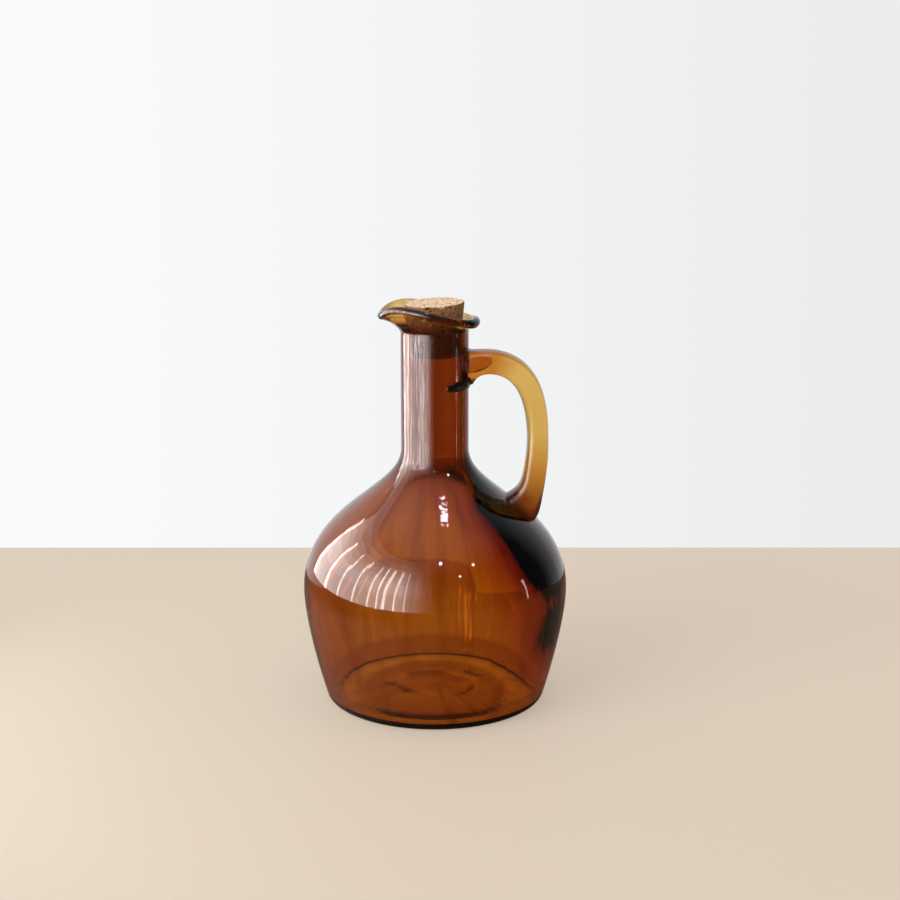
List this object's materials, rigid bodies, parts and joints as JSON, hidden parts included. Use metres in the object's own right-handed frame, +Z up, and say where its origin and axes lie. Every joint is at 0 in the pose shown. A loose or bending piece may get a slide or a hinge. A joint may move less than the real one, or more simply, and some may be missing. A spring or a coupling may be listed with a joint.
{
  "type": "stoppered glass bottle",
  "caption": "Squat blown glass bottle with a straight neck, pinched pouring lip, applied loop handle and tapered cork stopper.",
  "frame": {"origin": "on the bottle's axis at the flat ring it stands on", "axes": "+Z up along the bottle's axis, +X towards the handle, -X towards the pouring lip, Y across"},
  "size_m": [0.1268, 0.1268, 0.1938],
  "materials": {
    "amber_glass": "glossy hand-blown amber glass, slightly wavy",
    "honey_glass": "glossy pulled honey-coloured glass",
    "natural_cork": "matt natural cork with dark pits"
  },
  "bodies": {
    "bottle": {"glass_bottle": "amber_glass", "handle": "honey_glass"},
    "stopper": {"cork_stopper": "natural_cork"}
  },
  "joints": [
    {"name": "cork_lift", "type": "slide", "parent": "bottle", "child": "stopper", "axis": [0, 0, 1], "range_m": [0, 0.06]}
  ]
}
